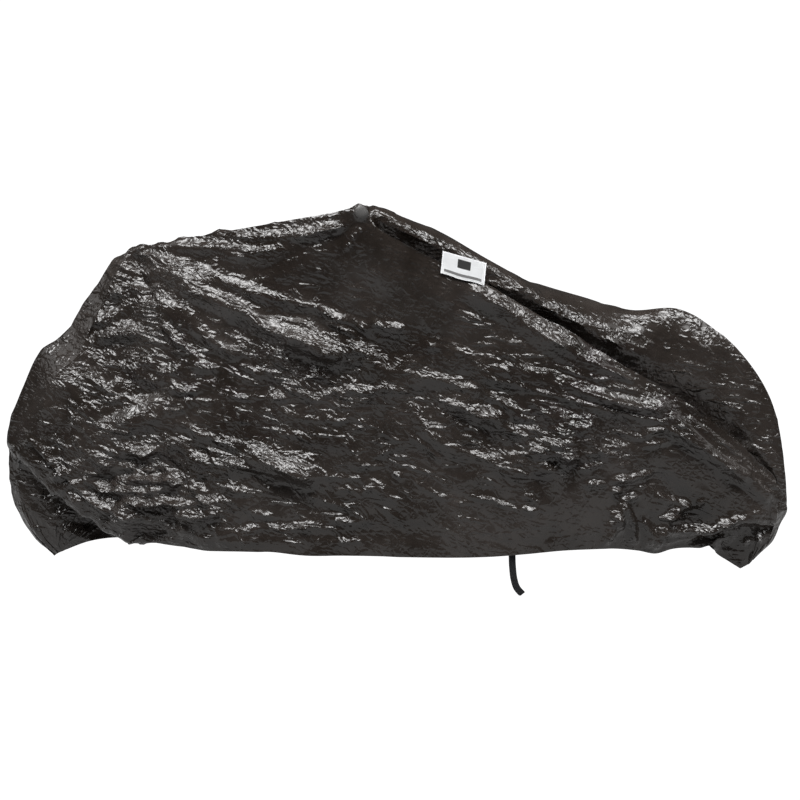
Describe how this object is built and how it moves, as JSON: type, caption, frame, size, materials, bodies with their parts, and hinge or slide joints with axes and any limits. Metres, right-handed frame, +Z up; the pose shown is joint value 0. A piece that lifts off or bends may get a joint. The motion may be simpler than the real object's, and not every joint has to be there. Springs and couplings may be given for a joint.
{
  "type": "bicycle cover",
  "caption": "Thin film cover draped over a long bicycle, hollow and open underneath, with a blank label and a tie strap at its hem.",
  "frame": {"origin": "under the top of the cover, on the film's underside over the middle of the handlebar", "axes": "+X along the bicycle towards its front wheel, +Z up, -Y towards the side with the label and the strap"},
  "size_m": [2.4039, 0.601, 1.1222],
  "materials": {
    "film": "thin glossy black polyethylene film, crinkled all over",
    "label": "matt white coated cloth, blank",
    "webbing": "flat woven black webbing"
  },
  "bodies": {
    "root": {"cover_film": "film", "label_patch": "label", "tie_strap": "webbing"}
  },
  "joints": []
}
